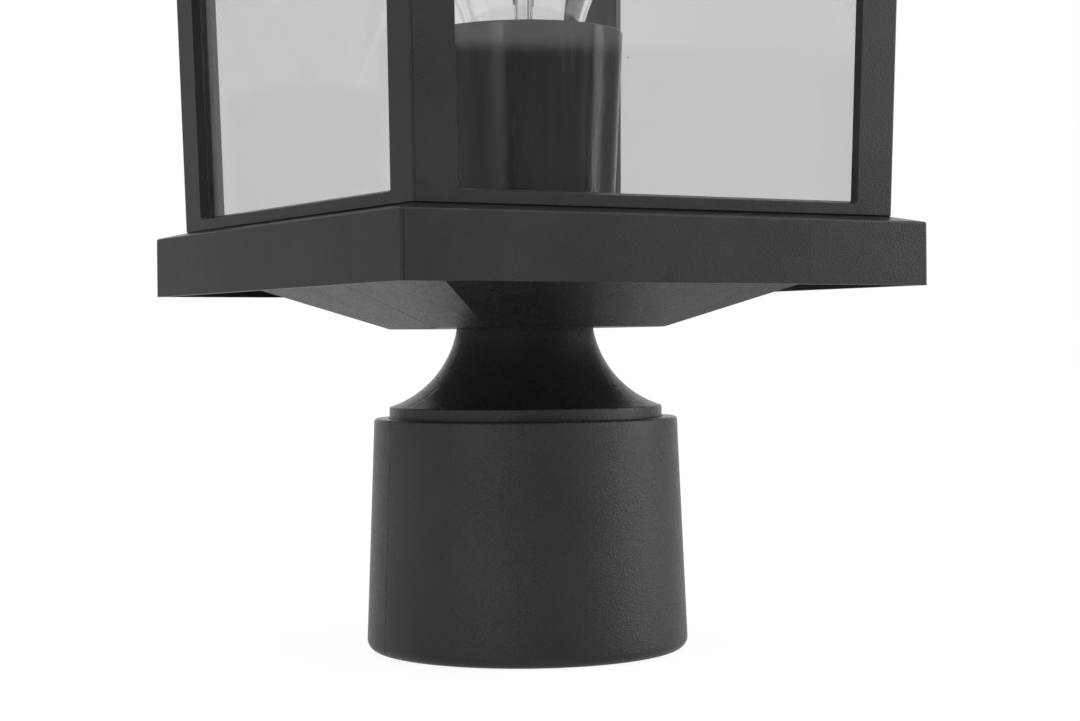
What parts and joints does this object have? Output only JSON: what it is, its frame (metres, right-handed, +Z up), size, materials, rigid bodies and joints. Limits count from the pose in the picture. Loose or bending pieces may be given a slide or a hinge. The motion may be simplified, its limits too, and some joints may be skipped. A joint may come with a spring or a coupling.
{
  "type": "post top lantern",
  "caption": "Square flared lantern with clear panes, a sleeved screw socket and clear lamp, on a flared neck and a round cup that slips over a post.",
  "frame": {"origin": "centre of the fitter's open foot, at the bottom of the whole object", "axes": "+Z up along the post and the axis of the lantern, -Y towards the front side, +X to the right of someone who faces the front"},
  "size_m": [0.1662, 0.1662, 0.3728],
  "materials": {
    "black_casting": "black powder coat, satin, with a faint orange-peel texture",
    "black_sleeve": "black enamel, smooth and slightly glossy",
    "pane_glass": "clear, lightly tinted",
    "lamp_glass": "clear, thin",
    "zinc_plate": "zinc plated",
    "zinc_screw": "zinc plated",
    "bushing_plastic": "black, moulded",
    "socket_ceramic": "white porcelain glaze",
    "contact_brass": "bare pressed brass",
    "lamp_base_metal": "bright rolled",
    "lamp_insulator_glass": "black fused insulator",
    "lamp_solder": "solder",
    "lamp_wire": "drawn nickel wire",
    "lamp_tungsten": "coiled tungsten",
    "seal_rubber": "matt"
  },
  "bodies": {
    "lantern": {"post_fitter": "black_casting", "base_pan": "black_casting", "base_tray": "black_casting", "cage_frame": "black_casting", "front_pane": "pane_glass", "rear_pane": "pane_glass", "left_pane": "pane_glass", "right_pane": "pane_glass", "pane_clips": "zinc_plate", "pane_clip_screws": "zinc_screw", "cage_screws": "zinc_screw", "centre_nipple": "zinc_plate", "neck_washer": "zinc_plate", "neck_locknut": "zinc_plate", "sleeve_locknut": "zinc_plate", "wire_bushing": "bushing_plastic", "socket_sleeve": "black_sleeve", "socket_strap": "zinc_plate", "socket_screws": "zinc_screw", "socket_body": "socket_ceramic", "socket_screw_shell": "contact_brass", "socket_contact": "contact_brass", "roof_crossbar": "zinc_plate", "crossbar_screws": "zinc_screw", "roof_stud": "zinc_plate", "stud_nuts": "zinc_plate"},
    "roof_cover": {"roof": "black_casting"},
    "finial_seal": {"finial_seal_washer": "seal_rubber"},
    "finial": {"finial_knob": "black_casting"},
    "lamp_tip": {"bulb_contact": "lamp_solder"},
    "lamp": {"bulb_insulator": "lamp_insulator_glass", "bulb_screw_shell": "lamp_base_metal", "bulb_glass": "lamp_glass", "bulb_stem": "lamp_glass", "bulb_lead_wires": "lamp_wire", "bulb_filament": "lamp_tungsten"},
    "set_screw_right": {"fitter_set_screw_1": "zinc_screw"},
    "set_screw_rear": {"fitter_set_screw_2": "zinc_screw"}
  },
  "joints": [
    {"name": "roof_lift", "type": "slide", "parent": "lantern", "child": "roof_cover", "axis": [0, 0, 1], "range_m": [0, 0.06]},
    {"name": "finial_rise", "type": "slide", "parent": "roof_cover", "child": "finial_seal", "axis": [0, 0, 1], "range_m": [0, 0.01]},
    {"name": "finial_turn", "type": "hinge", "parent": "finial_seal", "child": "finial", "pos_m": [0, 0, 0.345], "axis": [0, 0, 1], "range_deg": [0, 3600]},
    {"name": "bulb_rise", "type": "slide", "parent": "lantern", "child": "lamp_tip", "axis": [0, 0, 1], "range_m": [0, 0.0109]},
    {"name": "bulb_turn", "type": "hinge", "parent": "lamp_tip", "child": "lamp", "pos_m": [0, 0, 0.15], "axis": [0, 0, 1], "range_deg": [0, 1080]},
    {"name": "set_screw_right_drive", "type": "slide", "parent": "lantern", "child": "set_screw_right", "axis": [-1, 0, 0], "range_m": [0, 0.001]},
    {"name": "set_screw_rear_drive", "type": "slide", "parent": "lantern", "child": "set_screw_rear", "axis": [0, -1, 0], "range_m": [0, 0.001]}
  ],
  "couplings": [
    {"joint": "finial_turn", "follows": "finial_rise", "rad_per_m": 6283.2},
    {"joint": "bulb_rise", "follows": "bulb_turn", "m_per_rad": 0.00057757}
  ]
}
